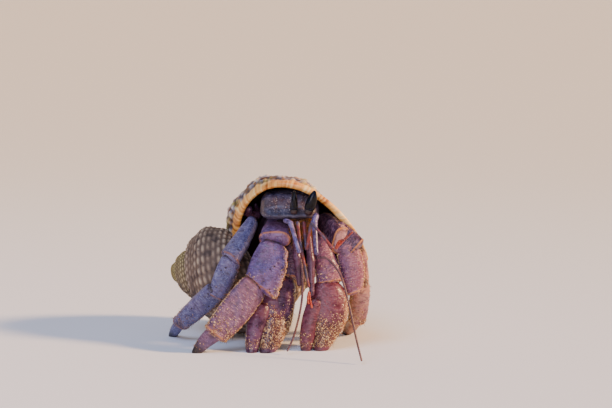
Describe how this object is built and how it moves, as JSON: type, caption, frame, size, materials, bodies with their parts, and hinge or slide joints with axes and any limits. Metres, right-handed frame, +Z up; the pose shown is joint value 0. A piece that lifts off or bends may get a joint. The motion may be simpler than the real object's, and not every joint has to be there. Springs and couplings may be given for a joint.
{
  "type": "hermit crab in a turban shell",
  "caption": "Land hermit crab standing in a coiled turban shell, as a rigid life-size display model with legs, claws, eyes and feelers.",
  "frame": {"origin": "middle of the whole model's footprint, on the floor under the feet", "axes": "+Z up; -Y is the way the crab faces; -X is the crab's own right side, towards the shell's spire"},
  "size_m": [0.0512, 0.0542, 0.0417],
  "materials": {
    "shell": "weathered, beaded snail shell, slightly rough",
    "shield": "smooth pitted carapace with pale specks",
    "soft_body": "soft wrinkled skin",
    "mouth": "brown bristly mouthparts",
    "claw_skin": "smooth dark plum to purple with pale granules",
    "eyestalk": "dark smooth stalk",
    "eye": "black wet eye",
    "red_feeler": "thin smooth red-brown feeler",
    "pale_feeler": "pale lilac feeler",
    "right_leg_skin": "lilac-blue granular leg skin",
    "left_leg_skin": "pinkish burgundy granular leg skin"
  },
  "bodies": {
    "root": {"leg_right_front_merus": "right_leg_skin", "leg_right_front_carpus": "right_leg_skin", "leg_right_front_propodus": "right_leg_skin", "leg_right_front_dactyl": "right_leg_skin", "leg_right_rear_merus": "right_leg_skin", "leg_right_rear_carpus": "right_leg_skin", "leg_right_rear_propodus": "right_leg_skin", "leg_right_rear_dactyl": "right_leg_skin", "leg_left_front_merus": "left_leg_skin", "leg_left_front_carpus": "left_leg_skin", "leg_left_front_propodus": "left_leg_skin", "leg_left_front_dactyl": "left_leg_skin", "leg_left_rear_merus": "left_leg_skin", "leg_left_rear_carpus": "left_leg_skin", "leg_left_rear_propodus": "left_leg_skin", "leg_left_rear_dactyl": "left_leg_skin", "claw_right_merus": "claw_skin", "claw_right_carpus": "claw_skin", "claw_right_finger": "claw_skin", "claw_right_palm": "claw_skin", "claw_left_merus": "claw_skin", "claw_left_carpus": "claw_skin", "claw_left_finger": "claw_skin", "claw_left_palm": "claw_skin", "maxilliped_right": "claw_skin", "maxilliped_left": "claw_skin", "antennule_right": "red_feeler", "antennule_left": "red_feeler", "antenna_right": "pale_feeler", "antenna_left": "pale_feeler", "leg_right_fourth": "right_leg_skin", "leg_left_fourth": "left_leg_skin", "leg_right_fifth": "right_leg_skin", "leg_left_fifth": "left_leg_skin", "antennule_right_flagella": "red_feeler", "antennule_left_flagella": "red_feeler", "antenna_right_flagellum": "pale_feeler", "antenna_left_flagellum": "pale_feeler", "eyestalk_right": "eyestalk", "eye_right": "eye", "eyestalk_left": "eyestalk", "eye_left": "eye", "mouth": "mouth", "shield": "shield", "trunk": "soft_body", "abdomen": "soft_body", "shell": "shell"}
  },
  "joints": []
}
